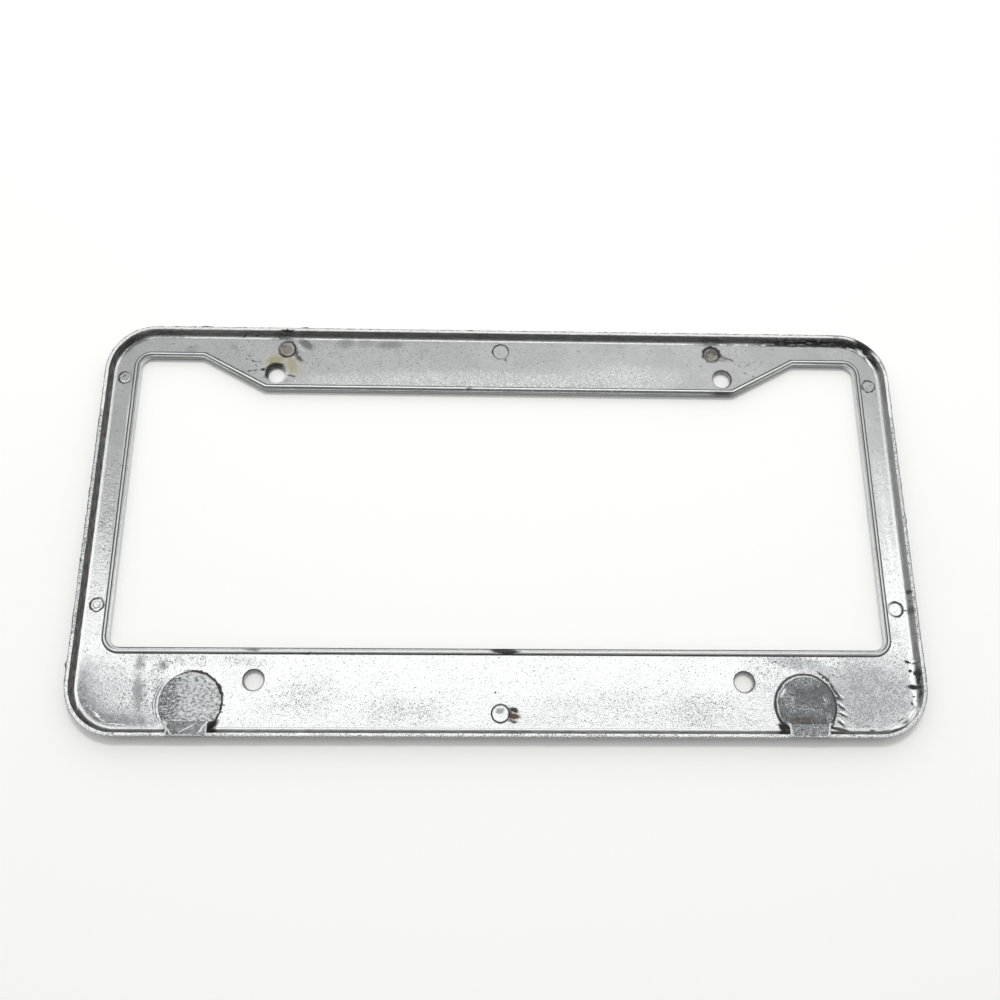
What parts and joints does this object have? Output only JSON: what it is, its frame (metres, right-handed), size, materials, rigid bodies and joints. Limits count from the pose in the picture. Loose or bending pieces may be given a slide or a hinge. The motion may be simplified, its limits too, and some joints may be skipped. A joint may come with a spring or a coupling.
{
  "type": "number plate frame",
  "caption": "Flat rectangular number plate frame cast in one piece, with a raised rear rim, a large notched window and bolt holes on the standard pattern.",
  "frame": {"origin": "middle of the frame's outline, on its front face, which lies on the ground", "axes": "+X along the width, +Y towards the top edge, +Z from the front face to the rear"},
  "size_m": [0.31, 0.1596, 0.0057],
  "materials": {
    "chromed_zinc": "bright plating worn thin over a cast zinc rear, with stains and scuffs"
  },
  "bodies": {
    "root": {"plate_frame": "chromed_zinc"}
  },
  "joints": []
}
